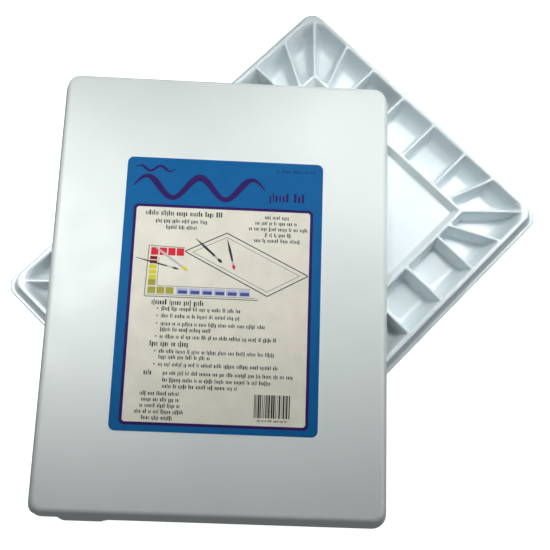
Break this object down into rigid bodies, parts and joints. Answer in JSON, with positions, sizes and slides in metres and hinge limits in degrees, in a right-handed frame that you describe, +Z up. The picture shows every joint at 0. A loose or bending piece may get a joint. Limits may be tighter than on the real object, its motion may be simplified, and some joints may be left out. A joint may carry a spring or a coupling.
{
  "type": "mixing palette",
  "caption": "Shallow rectangular paint tray with a ring of wells around a mixing area, and a loose shallow lid with a paper label, lying turned across the tray's rim.",
  "frame": {"origin": "centre of the tray's foot, on the surface that it stands on", "axes": "+Z up, X along the tray's shorter side, Y along its longer side"},
  "size_m": [0.4914, 0.5206, 0.0385],
  "materials": {
    "tray_plastic": "glossy white moulded plastic with a faint blue-grey cast",
    "lid_plastic": "satin white moulded plastic",
    "label_paper": "coated paper, printed blue with a cream panel"
  },
  "bodies": {
    "tray": {"tray": "tray_plastic"},
    "lid": {"lid": "lid_plastic", "label": "label_paper"}
  },
  "joints": [
    {"name": "lid_lift", "type": "slide", "parent": "tray", "child": "lid", "axis": [0, 0, 1], "range_m": [0, 0.12]}
  ]
}
